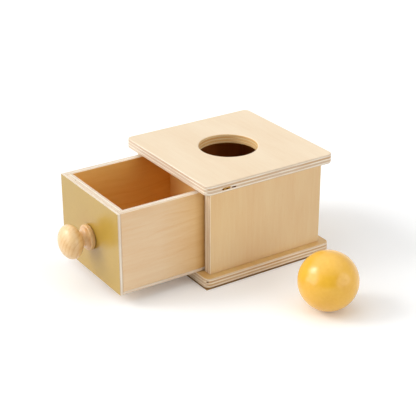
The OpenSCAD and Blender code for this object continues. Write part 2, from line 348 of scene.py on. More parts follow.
def draw_wood_figure(net, given):
    """Rotary-cut birch: slow warm drift, soft streaks, fine fibres, and growth lines along the grain."""
    board = given["Board"]
    drift = net.noise(board, (11, 38, 9))
    streaks = net.noise(board, (24, 290, 40), 4.0, 0.6)
    fibres = net.noise(board, (85, 2300, 300), 2.0, 0.6)
    flecks = net.ramp(net.noise(board, (240, 1500, 300), 1.0), 0.66, 0.76)

    # Growth lines run along the grain, wander a little and fade out here and there
    across = net.math("MULTIPLY", net.split(board)["Y"], 95.0)
    wander = net.noise(board, (14, 22, 6), 2.0, 0.4)
    level = net.math("FRACT", net.math("MULTIPLY_ADD", wander, 2.2, across))
    rise = net.ramp(level, 0.74, 0.93, smooth=True)
    lines = net.math("MULTIPLY", rise, net.ramp(level, 0.93, 1.0, 1.0, 0.0))
    worn = net.ramp(net.noise(board, (12, 42, 9)), 0.46, 0.62)
    lines = net.math("MULTIPLY", lines, worn)

    share = net.sway(0.42, drift, 1.7)
    share = net.sway(share, streaks, 1.1)
    share = net.sway(share, fibres, 0.55)
    share = net.math("MULTIPLY_ADD", flecks, 0.3, share)
    share = net.math("MULTIPLY_ADD", lines, given["Lines"], share, clamp=True)
    colour = net.mix(share, given["Pale"], given["Deep"])
    return colour, net.ramp(fibres, 0.3, 0.7, 0.38, 0.50), net.math("MULTIPLY_ADD", flecks, -0.6, fibres)


WOOD_FIGURE = (
    "wood figure",
    {"Board": (0, 0, 0), "Pale": (1, 1, 1, 1), "Deep": (0.5, 0.5, 0.5, 1), "Lines": 0.0},
    draw_wood_figure,
)


def draw_plywood(net, given):
    """Layers of plywood. Board is metres along the grain, across it and down from a face."""
    board = given["Board"]
    depth = net.split(board)["Z"]
    turned = net.split(given["Board Normal"])
    under_face = net.math("MINIMUM", depth, net.math("SUBTRACT", given["Thickness"], depth))
    face = net.ramp(under_face, 0.04 * MM, 0.22 * MM, 1.0, 0.0, smooth=True)

    # The plies wander a little in thickness along the edge
    wave = net.noise(board, (38, 38, 0))
    bent_depth = net.math("MULTIPLY_ADD", wave, 0.36 * MM, net.math("SUBTRACT", depth, 0.18 * MM))
    level = net.math("DIVIDE", net.math("SUBTRACT", bent_depth, given["Face Veneer"]), given["Ply"])
    number = net.math("FLOOR", level)
    along_ply = net.math("FLOORED_MODULO", number, 2.0)
    within = net.math("SUBTRACT", level, number)
    to_glue = net.math("MINIMUM", within, net.math("SUBTRACT", 1.0, within))
    glue = net.ramp(to_glue, 0.03, 0.11, 1.0, 0.0, smooth=True)

    # A ply shows end grain where the edge lies across its own grain, and some take more stain than others
    over_grain = net.math("MULTIPLY", turned["X"], turned["X"])
    over_cross = net.math("MULTIPLY", turned["Y"], turned["Y"])
    both = net.math("ADD", net.math("ADD", over_grain, over_cross), 0.0001)
    end_amount = net.blend(along_ply, over_cross, over_grain)
    end_amount = net.math("DIVIDE", end_amount, both, clamp=True)
    end_amount = net.ramp(end_amount, 0.25, 0.75, smooth=True)
    thirst = net.math("FRACT", net.math("MULTIPLY_ADD", number, 0.618, 2.05))
    end_amount = net.math("MULTIPLY", end_amount, net.ramp(thirst, 0.0, 1.0, 0.35, 1.0))

    seed = net.add("CombineXYZ", {"Z": net.math("MULTIPLY", number, 0.731)}).outputs[0]
    seeded = net.vector("ADD", board, seed)
    scales = {0: along_ply, 4: (900, 35, 900), 5: (35, 900, 900)}
    stretch = net.add("Mix", scales, data_type="VECTOR").outputs[1]
    streaks = net.noise(seeded, stretch, 3.0, 0.6)
    speckle = net.noise(seeded, 1500.0, 3.0, 0.65)
    warm_share = net.ramp(net.noise(seeded, 42.0), 0.42, 0.66, smooth=True)
    outer_ply = net.math("LESS_THAN", under_face, given["Face Veneer"])
    warm_end = net.math("MAXIMUM", warm_share, net.math("MULTIPLY", outer_ply, 0.85))
    end_colour = net.mix(warm_end, given["End Grain"], given["Warm End Grain"])
    end_colour = net.vector("MULTIPLY", end_colour, net.ramp(speckle, 0.3, 0.7, 0.90, 1.06))
    warm_long = net.math("MULTIPLY", warm_share, 0.25)
    long_colour = net.mix(warm_long, given["Long Grain"], given["Warm End Grain"])
    long_colour = net.vector("MULTIPLY", long_colour, net.ramp(streaks, 0.3, 0.7, 0.93, 1.03))
    end_share = net.math("MULTIPLY", end_amount, given["Contrast"])
    edge_colour = net.mix(end_share, long_colour, end_colour)
    edge_colour = net.mix(net.math("MULTIPLY", glue, 0.62), edge_colour, given["Glue"])
    edge_height = net.math("MULTIPLY_ADD", glue, -0.8, net.blend(end_amount, streaks, speckle))

    figure = net.use(WOOD_FIGURE, {key: given[key] for key in ("Board", "Pale", "Deep", "Lines")})
    colour = net.mix(face, edge_colour, figure["Color"])
    roughness = net.blend(face, net.ramp(speckle, 0.3, 0.7, 0.55, 0.68), figure["Roughness"])
    return colour, roughness, net.blend(face, edge_height, figure["Height"])


PLYWOOD = (
    "plywood layers",
    {
        "Board": (0, 0, 0),
        "Board Normal": (0, 0, 1),
        "Thickness": 8 * MM,
        "Face Veneer": 0.7 * MM,
        "Ply": 1.32 * MM,
        "Pale": (1, 1, 1, 1),
        "Deep": (0.5, 0.5, 0.5, 1),
        "Long Grain": (1, 1, 1, 1),
        "End Grain": (0.5, 0.5, 0.5, 1),
        "Warm End Grain": (0.5, 0.4, 0.3, 1),
        "Glue": (0.3, 0.2, 0.1, 1),
        "Contrast": 1.0,
        "Lines": 0.0,
    },
    draw_plywood,
)


def draw_turned_wood(net, given):
    """A turned piece: rings round a heart that lies outside it, fine pores and fibres along Z."""
    place = given["Place"]
    bend = net.math("MULTIPLY_ADD", net.noise(place, 38.0), 4 * MM, -2 * MM)
    flat = net.vector("MULTIPLY", place, (1.0, 1.0, 0.16))
    reach = net.add("VectorMath", {0: flat}, operation="LENGTH").outputs["Value"]
    within = net.math("FRACT", net.math("DIVIDE", net.math("ADD", reach, bend), given["Ring Gap"]))
    late_wood = net.ramp(within, 0.45, 0.95, smooth=True)
    late_wood = net.math("MULTIPLY", late_wood, net.ramp(within, 0.95, 1.0, 1.0, 0.0))
    fibres = net.noise(place, (1900, 1900, 110), 2.0, 0.6)
    clouds = net.noise(place, 75.0, 3.0)
    fading = net.ramp(net.noise(place, 110.0), 0.35, 0.65, 0.02, 0.24)
    share = net.math("MULTIPLY_ADD", late_wood, fading, 0.2)
    share = net.sway(share, fibres, 0.4)
    share = net.sway(share, clouds, 0.9, clamp=True)
    return net.mix(share, given["Pale"], given["Deep"]), net.ramp(fibres, 0.3, 0.7, 0.30, 0.40), fibres


TURNED_WOOD = (
    "turned wood figure",
    {"Place": (0, 0, 0), "Pale": (1, 1, 1, 1), "Deep": (0.5, 0.5, 0.5, 1), "Ring Gap": 2.2 * MM},
    draw_turned_wood,
)


def draw_coat(net, given):
    """A brushed or sprayed coat: slow colour drift, faint mottling and a slightly uneven surface."""
    clouds = net.noise(given["Place"], 45.0, 3.0, 0.55)
    mottle = net.noise(given["Place"], 420.0, 3.0, 0.6)
    share = net.sway(net.sway(0.45, clouds, 1.6), mottle, 0.9, clamp=True)
    colour = net.mix(share, given["Main"], given["Drift"])
    roughness = net.sway(given["Smoothness"], mottle, 0.12)
    return colour, roughness, net.math("MULTIPLY_ADD", clouds, 0.5, mottle)


COAT = (
    "hand rubbed coat",
    {"Place": (0, 0, 0), "Main": (1, 1, 1, 1), "Drift": (0.5, 0.5, 0.5, 1), "Smoothness": 0.35},
    draw_coat,
)


# Materials


def plywood_material(
    name, node, axes, plies, colours, contrast=1.0, paint=None, inner=None, lines=0.0, edges=None,
    edge_tint=(1, 1, 1)
):
    """Plywood for the board of one CAD node. Axes names the grain, cross and thickness directions."""
    look = bpy.context.scene.permanence_box_plywood
    low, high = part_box(node)
    net = MaterialNet(name, {"IOR": 1.5, "Coat Weight": 0.25, "Coat Roughness": 0.25})
    start = low.copy()
    along, _, through = ("XYZ".index(axis) for axis in axes)
    # The figure of each board starts somewhere else along the grain
    start[along] -= 0.31 + 0.17 * (sum(ord(letter) for letter in node) % 7)
    feeds = {"Vector": net.place, "Location": [-v for v in start]}
    board = net.reorder(net.add("Mapping", feeds).outputs[0], axes)
    thickness = (high - low)[through]
    veneer = look.face_veneer if thickness > 6 * MM else look.thin_veneer
    depth = net.split(board)["Z"]
    faces = [opaque(colour) for colour in colours]
    layers = []
    if node.endswith("_side"):
        # The drawer's sides grow warmer and darker towards their rear end, and darker again where they run
        # into the box: painted shade of the wall beside them
        along_side = net.split(net.place)["Y"]
        for start_y, tints in (
            (-92 * MM, (look.rear_shade_pale, look.rear_shade_deep)), (-61 * MM, (look.slot_shade_pale, look.slot_shade_deep))
        ):
            layers.append((net.ramp(along_side, start_y, -52 * MM), tints))
    if inner:
        # The face that looks into the box or the drawer has colours of its own: painted shade, darker and
        # warmer, inside the box and the drawer, and painted light, paler, on the inside of the drawer's back
        side, *tints = inner
        ends = (1.0, 0.0) if side == "low" else (0.0, 1.0)
        layers.append((net.ramp(depth, thickness * 0.45, thickness * 0.55, *ends), tints))
    for share, tints in layers:
        faces = [net.mix(share, face, opaque(tint)) for face, tint in zip(faces, tints)]
    edges = edges or (look.long_grain, look.end_grain, look.end_grain_warm)
    long_tint = [(1 + share) / 2 for share in edge_tint]
    edges = [
        opaque([value * share for value, share in zip(edge, tint)])
        for edge, tint in zip(edges, (long_tint, edge_tint, edge_tint))
    ]
    ply = net.use(PLYWOOD, {
        "Board": board,
        "Board Normal": net.reorder(net.coordinates["Normal"], axes),
        "Thickness": thickness,
        "Face Veneer": veneer,
        "Ply": (thickness - 2 * veneer) / (plies - 2),
        "Pale": faces[0],
        "Deep": faces[1],
        "Long Grain": edges[0],
        "End Grain": edges[1],
        "Warm End Grain": edges[2],
        "Glue": opaque(look.glue_line),
        "Contrast": contrast,
        "Lines": lines,
    })
    if paint is None:
        return net.surface(ply["Color"], ply["Roughness"], ply["Height"], 0.2, 0.05 * MM)
    # The paint covers the face that the board is measured from, and its arris
    feeds = {"Place": board, "Main": opaque(paint), "Drift": opaque(paint, 0.93), "Smoothness": 0.3}
    coat = net.use(COAT, feeds)
    painted = net.ramp(depth, 0.10 * MM, 0.16 * MM, 1.0, 0.0)
    colour = net.mix(painted, ply["Color"], coat["Color"])
    roughness = net.blend(painted, ply["Roughness"], coat["Roughness"])
    net.feed(net.shader, {"Coat Weight": 0.3, "Coat Roughness": 0.2})
    height = net.math("MULTIPLY_ADD", coat["Height"], 0.5, ply["Height"])
    return net.surface(colour, roughness, height, 0.04, 0.04 * MM)


def glue_material():
    """Golden glue in a gap of the plies, with darker lumps."""
    glue = bpy.context.scene.permanence_box_plywood.glue_patch
    net = MaterialNet("glue_in_gap")
    lumps = net.noise(net.place, 900.0, 3.0)
    colour = net.mix(net.ramp(lumps, 0.35, 0.65), opaque(glue), opaque(glue, 0.35))
    return net.surface(colour, net.ramp(lumps, 0.3, 0.7, 0.35, 0.6), lumps, 0.4, 0.1 * MM)


def gap_shade_material():
    """Dark brown painted shade deep inside a gap of the plies."""
    brown = bpy.context.scene.permanence_box_plywood.gap_shade_brown
    net = MaterialNet("deep_gap_shade", {"Specular IOR Level": 0.05})
    fibres = net.noise(net.place, 1400.0, 3.0)
    colour = net.mix(fibres, opaque(brown), opaque(brown, 0.4))
    return net.surface(colour, net.ramp(fibres, 0.3, 0.7, 0.7, 0.9), fibres, 0.4, 0.1 * MM)


def turned_material(name, colours, order, heart, ring_gap, coat, tilt=0.0):
    """Turned wood. Order puts the grain's axis last, tilt turns it about X, heart is the tree's middle."""
    values = {"Coat Weight": coat, "Coat Roughness": 0.06, "Specular IOR Level": 0.3}
    net = MaterialNet(name, values)
    back = Matrix.Rotation(tilt, 3, "X") @ Vector(heart)
    feeds = {"Vector": net.place, "Location": -back, "Rotation": (tilt, 0, 0)}
    place = net.reorder(net.add("Mapping", feeds).outputs[0], order)
    pale, deep = (opaque(colour) for colour in colours)
    figure = net.use(TURNED_WOOD, {"Place": place, "Pale": pale, "Deep": deep, "Ring Gap": ring_gap})
    return net.surface(figure["Color"], figure["Roughness"], figure["Height"], 0.03, 0.04 * MM)


def ball_material():
    """Yellow lacquer over a wooden ball."""
    look = bpy.context.scene.permanence_box_finish
    net = MaterialNet("yellow_lacquer", {
        "Specular IOR Level": 0.15, "Coat Weight": 0.8, "Coat Roughness": 0.2, "Coat IOR": 1.62
    })
    colours = {"Main": opaque(look.ball_yellow), "Drift": opaque(look.ball_amber)}
    coat = net.use(COAT, {"Place": net.place, "Smoothness": 0.42, **colours})
    return net.surface(coat["Color"], coat["Roughness"], coat["Height"], 0.06, 0.1 * MM)


def zinc_material():
    """Zinc-plated steel with fine scratches and dull patches."""
    zinc = bpy.context.scene.permanence_box_finish.zinc
    net = MaterialNet("zinc_plate", {"Metallic": 1.0})
    dull = net.noise(net.place, 520.0, 3.0, 0.6)
    scratches = net.noise(net.place, (4200, 700, 2400))
    colour = net.mix(net.ramp(dull, 0.35, 0.7), opaque(zinc), opaque(zinc, 0.72))
    return net.surface(colour, net.ramp(dull, 0.3, 0.7, 0.26, 0.44), scratches, 0.15, 0.02 * MM)


# Mesh tools


def new_piece(name, bm, materials, body, slot, *nodes, even=True):
    """Makes the mesh an object that rides on a body in place of its CAD nodes."""
    bmesh.ops.remove_doubles(bm, verts=bm.verts, dist=1e-7)
    bmesh.ops.recalc_face_normals(bm, faces=bm.faces)
    mesh = bpy.data.meshes.new(name)
    bm.to_mesh(mesh)
    bm.free()
    for material in materials:
        mesh.materials.append(material)
    mesh.shade_smooth()
    piece = bpy.data.objects.new(name, mesh)
    bpy.context.scene.collection.objects.link(piece)
    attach(piece, body)
    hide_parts(*nodes)
    if even:
        # Turns the normals of the rounded edges into those of the flat faces beside them
        weighted = piece.modifiers.new("even_shading", "WEIGHTED_NORMAL")
        weighted.mode = "FACE_AREA"
        weighted.weight = 100
        weighted.keep_sharp = True


def block(low, high):
    """A closed box between two corners."""
    bm = bmesh.new()
    bmesh.ops.create_cube(bm, size=1)
    bmesh.ops.scale(bm, vec=high - low, verts=bm.verts)
    bmesh.ops.translate(bm, vec=(low + high) / 2, verts=bm.verts)
    return bm


def round_edges(bm, edges, radius, segments):
    bmesh.ops.bevel(
        bm, geom=edges, offset=radius, offset_type="OFFSET", segments=segments, profile=0.5,
        affect="EDGES", material=-1, clamp_overlap=True,
    )
    bm.normal_update()


def upright_edges(bm):
    return [e for e in bm.edges if abs((e.verts[0].co - e.verts[1].co).normalized().z) > 0.999]


def end_outlines(bm):
    """The edges round the largest faces that look straight up and straight down."""
    bm.normal_update()
    outlines = []
    for outward in (Z_AXIS, -Z_AXIS):
        facing = [f for f in bm.faces if f.normal.dot(outward) > 0.999]
        outlines += max(facing, key=lambda f: f.calc_area()).edges
    return outlines


def cross_axes(outward):
    """The two main axes that lie square to a direction."""
    return [axis for axis in (X_AXIS, Y_AXIS, Z_AXIS) if abs(axis.dot(outward)) < 0.5]


def face_at(faces, place, outward):
    """The flat face that holds a point and looks outwards."""
    for face in faces:
        face.normal_update()
        in_plane = abs((place - face.verts[0].co).dot(outward)) < 1e-6
        if in_plane and face.normal.dot(outward) > 0.999 and bmesh.geometry.intersect_face_point(face, place):
            return face
    raise RuntimeError(f"no face at {tuple(place)} looks along {tuple(outward)}")


def cut_round(bm, place, outward, planes):
    """Cuts a face along planes round a point, given as (direction, distance); returns the part inside."""
    face = face_at(bm.faces, place, outward)
    for direction, distance in planes:
        parts = bmesh.ops.bisect_plane(
            bm, geom=[face, *face.edges, *face.verts], dist=1e-7,
            plane_co=place + direction * distance, plane_no=direction,
        )
        face = face_at([g for g in parts["geom"] if isinstance(g, bmesh.types.BMFace)], place, outward)
    return face


def square_round(outward, half):
    """The planes of a square round a point, for cut_round."""
    return [(axis * sign, half) for axis in cross_axes(outward) for sign in (-1, 1)]


def open_window(bm, place, outward, half, count):
    """Takes a square out of a face and returns its border, divided into count edges."""
    window = cut_round(bm, place, outward, square_round(outward, half))
    already_open = {e for e in bm.edges if e.is_boundary}
    border = list(window.edges)
    bmesh.ops.delete(bm, geom=[window], context="FACES_ONLY")
    bmesh.ops.subdivide_edges(bm, edges=border, cuts=count // 4 - 1)
    return [e for e in bm.edges if e.is_boundary and e not in already_open]


def ring(bm, place, axis, radius, count):
    """A circle of edges round an axis."""
    turn = axis.to_track_quat("Z", "Y").to_matrix().to_4x4()
    made = bmesh.ops.create_circle(
        bm, cap_ends=False, radius=radius, segments=count, matrix=Matrix.Translation(place) @ turn
    )
    return list({e for v in made["verts"] for e in v.link_edges})


def rim(bm, place, outward, radius, count):
    """Opens a round hole in a face and returns its edge."""
    window = open_window(bm, place, outward, radius * 1.12, count)
    loop = ring(bm, place - outward * radius, outward, radius, count)
    bmesh.ops.bridge_loops(bm, edges=window + loop)
    bmesh.ops.translate(bm, vec=outward * radius, verts=list({v for e in loop for v in e.verts}))
    return loop


def drill(bm, place, outward, steps, count=24, through=None):
    """Drills a hole from a point of a face. Steps are (depth, radius). Through is the board's thickness."""
    loop = rim(bm, place, outward, steps[0][1], count)
    for depth, radius in steps[1:-1] if through else steps[1:]:
        next_loop = ring(bm, place - outward * depth, outward, radius, count)
        bmesh.ops.bridge_loops(bm, edges=loop + next_loop)
        loop = next_loop
    if through:
        way_out = rim(bm, place - outward * through, -outward, steps[-1][1], count)
        bmesh.ops.bridge_loops(bm, edges=loop + way_out)
    else:
        bmesh.ops.contextual_create(bm, geom=loop)
    bmesh.ops.recalc_face_normals(bm, faces=bm.faces)


def sink_pit(bm, place, outward, corners, depth, material_index, tapers=DARK_TAPERS):
    """Sinks a small ragged pit into a flat face. Corners are (angle, mm) of the cuts round it."""
    first = cross_axes(outward)[0]
    second = outward.cross(first)
    planes = [
        (first * math.cos(math.radians(angle)) + second * math.sin(math.radians(angle)), distance * MM)
        for angle, distance in corners
    ]
    floor = cut_round(bm, place, outward, planes)
    for share, taper in zip((0.35, 0.65), tapers):
        floor = bmesh.ops.extrude_discrete_faces(bm, faces=[floor])["faces"][0]
        middle = Matrix.Translation(-floor.calc_center_median())
        bmesh.ops.scale(bm, vec=Vector((taper, taper, taper)), verts=floor.verts, space=middle)
        bmesh.ops.translate(bm, vec=-outward * depth * share, verts=floor.verts)
        floor.material_index = material_index
        for edge in floor.edges:
            for side in edge.link_faces:
                side.material_index = material_index


def sink_faces(bm, faces, shift):
    """Sinks a patch of faces and returns its moved points."""
    made = bmesh.ops.extrude_face_region(bm, geom=faces)
    sunk = [g for g in made["geom"] if isinstance(g, bmesh.types.BMVert)]
    bmesh.ops.delete(bm, geom=[f for f in faces if f.is_valid], context="FACES_ONLY")
    bmesh.ops.translate(bm, vec=shift, verts=sunk)
    return sunk


def sink_cross(bm, place, outward, arm, half_width, depth):
    """Sinks a cross recess into the flat top of a screw's head."""
    sides = cross_axes(outward)
    floors = [cut_round(bm, place, outward, square_round(outward, half_width))]
    reach = (arm - half_width) / 2
    for axis, other in (sides, sides[::-1]):
        for sign in (-1, 1):
            middle = place + axis * sign * (half_width + arm) / 2
            arms = [(axis, reach), (-axis, reach), (other, half_width), (-other, half_width)]
            floors.append(cut_round(bm, middle, outward, arms))
    sunk = sink_faces(bm, floors, -outward * depth)
    floor_middle = Matrix.Translation(outward * depth - place)
    bmesh.ops.scale(bm, vec=Vector((0.7, 0.7, 0.7)), verts=sunk, space=floor_middle)


def turn_profile(profile, place, axis, count):
    """Turns a profile of (radius, height) about an axis through a point into a closed solid."""
    bm = bmesh.new()
    turn = axis.to_track_quat("Z", "Y").to_matrix()
    points = [bm.verts.new(place + turn @ Vector((radius, 0, height))) for radius, height in profile]
    line = [bm.edges.new(pair) for pair in zip(points, points[1:])]
    bmesh.ops.spin(
        bm, geom=points + line, cent=place, axis=axis, dvec=(0, 0, 0), angle=2 * math.pi,
        steps=count, use_merge=True, use_duplicate=False,
    )
    bmesh.ops.remove_doubles(bm, verts=bm.verts, dist=1e-6)
    bmesh.ops.recalc_face_normals(bm, faces=bm.faces)
    return bm


def flatten_cap(bm, place, outward, radius):
    """Joins the fan of faces round a pole into one flat face."""
    bm.normal_update()
    fan = [
        f for f in bm.faces
        if f.normal.dot(outward) > 0.999 and (f.calc_center_median() - place).length < radius
    ]
    bmesh.ops.dissolve_faces(bm, faces=fan, use_verts=True)
    bm.normal_update()


def join_meshes(meshes):
    """One bmesh of several, which are freed."""
    whole = bmesh.new()
    for bm in meshes:
        part = bpy.data.meshes.new("part")
        bm.to_mesh(part)
        bm.free()
        whole.from_mesh(part)
        bpy.data.meshes.remove(part)
    return whole


# The pieces of the box


def panel_mesh(node):
    """A square panel with round corners and a rounded arris."""
    shape = bpy.context.scene.permanence_box_shape
    low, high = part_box(node)
    bm = block(low, high)
    round_edges(bm, upright_edges(bm), shape.corner_radius, shape.corner_segments)
    round_edges(bm, end_outlines(bm), shape.panel_arris, 4)
    return bm, low, high


def make_top_panel():
    """The top panel with its drop hole, rounded edges, dowel holes and gaps in its plies."""
    shape = bpy.context.scene.permanence_box_shape
    look = bpy.context.scene.permanence_box_plywood
    bm, low, high = panel_mesh("top_panel")
    thickness = high.z - low.z
    hole_r = shape.drop_hole_radius
    drill(bm, Vector((0, 0, high.z)), Z_AXIS, [(0, hole_r), (thickness, hole_r)], 100, thickness)
    rims = [
        e for e in bm.edges
        if all(abs(v.co.xy.length - hole_r) < 1e-6 for v in e.verts)
        and abs(e.verts[0].co.z - e.verts[1].co.z) < 1e-6
    ]
    round_edges(bm, rims, shape.panel_arris, 4)
    for inset, y, z, depth, material_index, tapers, corners in PANEL_PITS:
        place = Vector((high.x - inset * MM, y * MM, z * MM))
        sink_pit(bm, place, X_AXIS, corners, depth * MM, material_index, tapers)
    for x, y in WALL_FIXINGS:
        drill(bm, Vector((x, y, low.z)), -Z_AXIS, SHALLOW_DOWEL_HOLE)
    # The drop hole's faces take material 3, whose warmer plies are painted warm bounce light
    for face in bm.faces:
        if max(v.co.xy.length for v in face.verts) < hole_r + 0.4 * MM:
            face.material_index = 3
    colours = (look.top_pale, look.top_deep)
    edges = (look.hole_bounce_pale, look.hole_bounce_tan, look.hole_bounce_tan)
    wood = plywood_material("top_panel_birch", "top_panel", "XYZ", 7, colours)
    bounce_lit_hole = plywood_material("drop_hole_bounce_lit_birch", "top_panel", "XYZ", 7, colours, edges=edges)
    materials = [wood, glue_material(), gap_shade_material(), bounce_lit_hole]
    new_piece("panel_top", bm, materials, "box", "birch_ply", "top_panel")


def sink_corner_gap(bm):
    """Sinks a small gap into a ply at the base's near right corner, with painted dark shade inside."""
    shape = bpy.context.scene.permanence_box_shape
    _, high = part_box("base_panel")
    arc_middle = Vector((high.x - shape.corner_radius, -high.y + shape.corner_radius, 0))
    outward = Vector((math.cos(CORNER_GAP_ANGLE), -math.sin(CORNER_GAP_ANGLE), 0))

    def upright_facets():
        spread = math.cos(CORNER_GAP_SPREAD)
        return [f for f in bm.faces if f.normal.dot(outward) > spread and abs(f.normal.z) < 0.01]

    near = upright_facets()
    for height in (CORNER_GAP_LOW, CORNER_GAP_HIGH):
        geom = list({g for f in near for g in (f, *f.edges, *f.verts)})
        bmesh.ops.bisect_plane(bm, geom=geom, dist=1e-7, plane_co=(0, 0, height), plane_no=Z_AXIS)
        near = [
            f for f in upright_facets()
            if (f.calc_center_median() - arc_middle).xy.length < shape.corner_radius + 0.1 * MM
        ]
    near = [f for f in near if CORNER_GAP_LOW < f.calc_center_median().z < CORNER_GAP_HIGH]
    if len(near) != 5:
        raise RuntimeError(f"the corner gap found {len(near)} facets, not 5")
    sunk = sink_faces(bm, near, -outward * CORNER_GAP_DEPTH)
    for face in {f for v in sunk for f in v.link_faces}:
        face.material_index = 1


def make_base_panel():
    """The base panel with rounded edges, countersunk holes and one small gap at its corner."""
    look = bpy.context.scene.permanence_box_plywood
    bm, low, high = panel_mesh("base_panel")
    thickness = high.z - low.z
    head_r = SCREW_HEAD_R + HOLE_GAP
    cone_end = SCREW_HEAD_R - SCREW_HOLE_R + HEAD_RECESS + HOLE_GAP
    steps = [(0, head_r), (HEAD_RECESS, head_r), (cone_end, SCREW_HOLE_R), (thickness, SCREW_HOLE_R)]
    for x, y in WALL_FIXINGS:
        drill(bm, Vector((x, y, low.z)), -Z_AXIS, steps, 32, thickness)
    sink_corner_gap(bm)
    colours = (look.base_pale, look.base_deep)
    wood = plywood_material("base_panel_birch", "base_panel", "XYZ", 7, colours, edge_tint=(1, 0.87, 0.66))
    new_piece("panel_base", bm, [wood, gap_shade_material()], "box", "birch_ply", "base_panel")


def make_wall(word, axes, inside, fixings, dowels, dowel_hole, rounded=False, edge_tint=(1, 1, 1)):
    """A wall with fine grooves where it meets the panels, drilled for its screws and dowels."""
    shape = bpy.context.scene.permanence_box_shape
    look = bpy.context.scene.permanence_box_plywood
    node = word + "_wall"
    low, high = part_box(node)
    bm = block(low, high)
    if rounded:
        round_edges(bm, upright_edges(bm), shape.wall_arris, 3)
    round_edges(bm, end_outlines(bm), shape.joint_groove, 2)
    for x, y in fixings:
        drill(bm, Vector((x, y, low.z)), -Z_AXIS, WALL_SCREW_HOLE)
        drill(bm, Vector((x, y, high.z)), Z_AXIS, DEEP_DOWEL_HOLE)
    for z in REAR_DOWEL_HEIGHTS:
        for x, outward in dowels:
            drill(bm, Vector((x, REAR_FIXING_Y, z)), outward, dowel_hole)
    # Painted shade: the walls' inner faces take much darker colours
    inner = (inside, look.box_inner_shade_pale, look.box_inner_shade_deep)
    colours = (look.wall_pale, look.wall_deep)
    wood = plywood_material(word + "_wall_birch", node, axes, 7, colours, inner=inner, edge_tint=edge_tint)
    new_piece("wall_" + word, bm, [wood], "box", "birch_ply", node)


def make_walls():
    """The two side walls, and the rear wall between them."""
    for word, side in (("left", -1), ("right", 1)):
        low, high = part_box(word + "_wall")
        fixings = [((low.x + high.x) / 2, y) for y in SIDE_FIXING_YS]
        inside = "low" if side > 0 else "high"
        dowels = [(low.x if side > 0 else high.x, -side * X_AXIS)]
        # Brighter, warmer ply edges on the side walls: painted light on their front edges
        tint = (1.1, 1.03, 0.88)
        make_wall(word, "ZYX", inside, fixings, dowels, SHALLOW_DOWEL_HOLE, rounded=True, edge_tint=tint)
    low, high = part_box("rear_wall")
    dowels = [(low.x, -X_AXIS), (high.x, X_AXIS)]
    make_wall("rear", "ZXY", "low", REAR_FIXINGS, dowels, DEEP_DOWEL_HOLE)


# The pieces of the drawer


def drawer_board(node, name, axes, plies, holes, inside, contrast=0.8, paint=None, pit=None, lines=0.0):
    """One board of the drawer with softened edges and its holes. Inside names the face towards the drawer."""
    shape = bpy.context.scene.permanence_box_shape
    look = bpy.context.scene.permanence_box_plywood
    bm = block(*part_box(node))
    round_edges(bm, list(bm.edges), shape.board_arris, 2)
    for hole in holes:
        drill(bm, *hole)
    # Painted shade: the drawer's inner faces take darker, warmer colours
    inner = (inside, look.inner_shade_pale, look.inner_shade_deep)
    # Painted light: the inside of the drawer's back takes paler colours instead
    if node == "drawer_back":
        inner = (inside, look.back_lit_pale, look.back_lit_deep)
    colours = (look.drawer_pale, look.drawer_deep)
    materials = [plywood_material(name + "_birch", node, axes, plies, colours, contrast, paint, inner, lines)]
    if pit:
        sink_pit(bm, *pit, 1)
        materials.append(gap_shade_material())
    new_piece(name, bm, materials, "drawer", "painted_ply" if paint else "drawer_ply", node)


def make_drawer_boards():
    """The drawer's sides, front board, back and bottom."""
    sides_low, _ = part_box("drawer_right_side")
    bottom_low, bottom_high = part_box("drawer_bottom")
    _, front_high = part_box("drawer_front")

    def upwards(places):
        return [(Vector((x, y, sides_low.z)), -Z_AXIS, BRAD_HOLE, 16) for x, y in places]

    for word, side, inside in (("left", -1, "high"), ("right", 1, "low")):
        own = [place for place in SIDE_BRADS if place[0] * side > 0]
        drawer_board(f"drawer_{word}_side", f"side_{word}", "YZX", 5, upwards(own), inside, lines=0.35)
    board_t = 4.8 * MM
    screw = [(0, KNOB_SCREW_HOLE_R), (board_t, KNOB_SCREW_HOLE_R)]
    front_holes = upwards([place for place in END_BRADS if place[1] < DRAWER_MIDDLE_Y])
    front_holes.append((Vector((0, FRONT_BOARD_INNER_Y, KNOB_HEIGHT)), Y_AXIS, screw, 24, board_t))
    speck_place = Vector((-27.2 * MM, -123.9 * MM, front_high.z))
    speck = (speck_place, Z_AXIS, ((0, 0.5), (60, 0.3), (130, 0.35), (200, 0.45), (270, 0.25)), 0.6 * MM)
    drawer_board("drawer_front", "front_board", "XZY", 5, front_holes, "high", pit=speck)
    back_holes = upwards([place for place in END_BRADS if place[1] > DRAWER_MIDDLE_Y])
    drawer_board("drawer_back", "back_board", "XZY", 5, back_holes, "low")
    bottom_t = bottom_high.z - bottom_low.z
    head_r = BRAD_HEAD_R + HOLE_GAP
    steps = [(0, head_r), (0.9 * MM, head_r), (0.95 * MM, BRAD_HOLE_R), (bottom_t, BRAD_HOLE_R)]
    through = [
        (Vector((x, y, bottom_low.z)), -Z_AXIS, steps, 16, bottom_t) for x, y in SIDE_BRADS + END_BRADS
    ]
    drawer_board("drawer_bottom", "bottom_board", "YXZ", 3, through, "high")


def make_facing():
    """The thin facing, painted on its front, with bare ply edges."""
    finish = bpy.context.scene.permanence_box_finish
    low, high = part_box("drawer_facing")
    thickness = high.y - low.y
    screw = [(0, KNOB_SCREW_HOLE_R), (thickness, KNOB_SCREW_HOLE_R)]
    hole = (Vector((0, low.y, KNOB_HEIGHT)), -Y_AXIS, screw, 24, thickness)
    olive = tuple(finish.olive)
    drawer_board("drawer_facing", "facing_painted", "XZY", 3, [hole], "high", contrast=0.35, paint=olive)


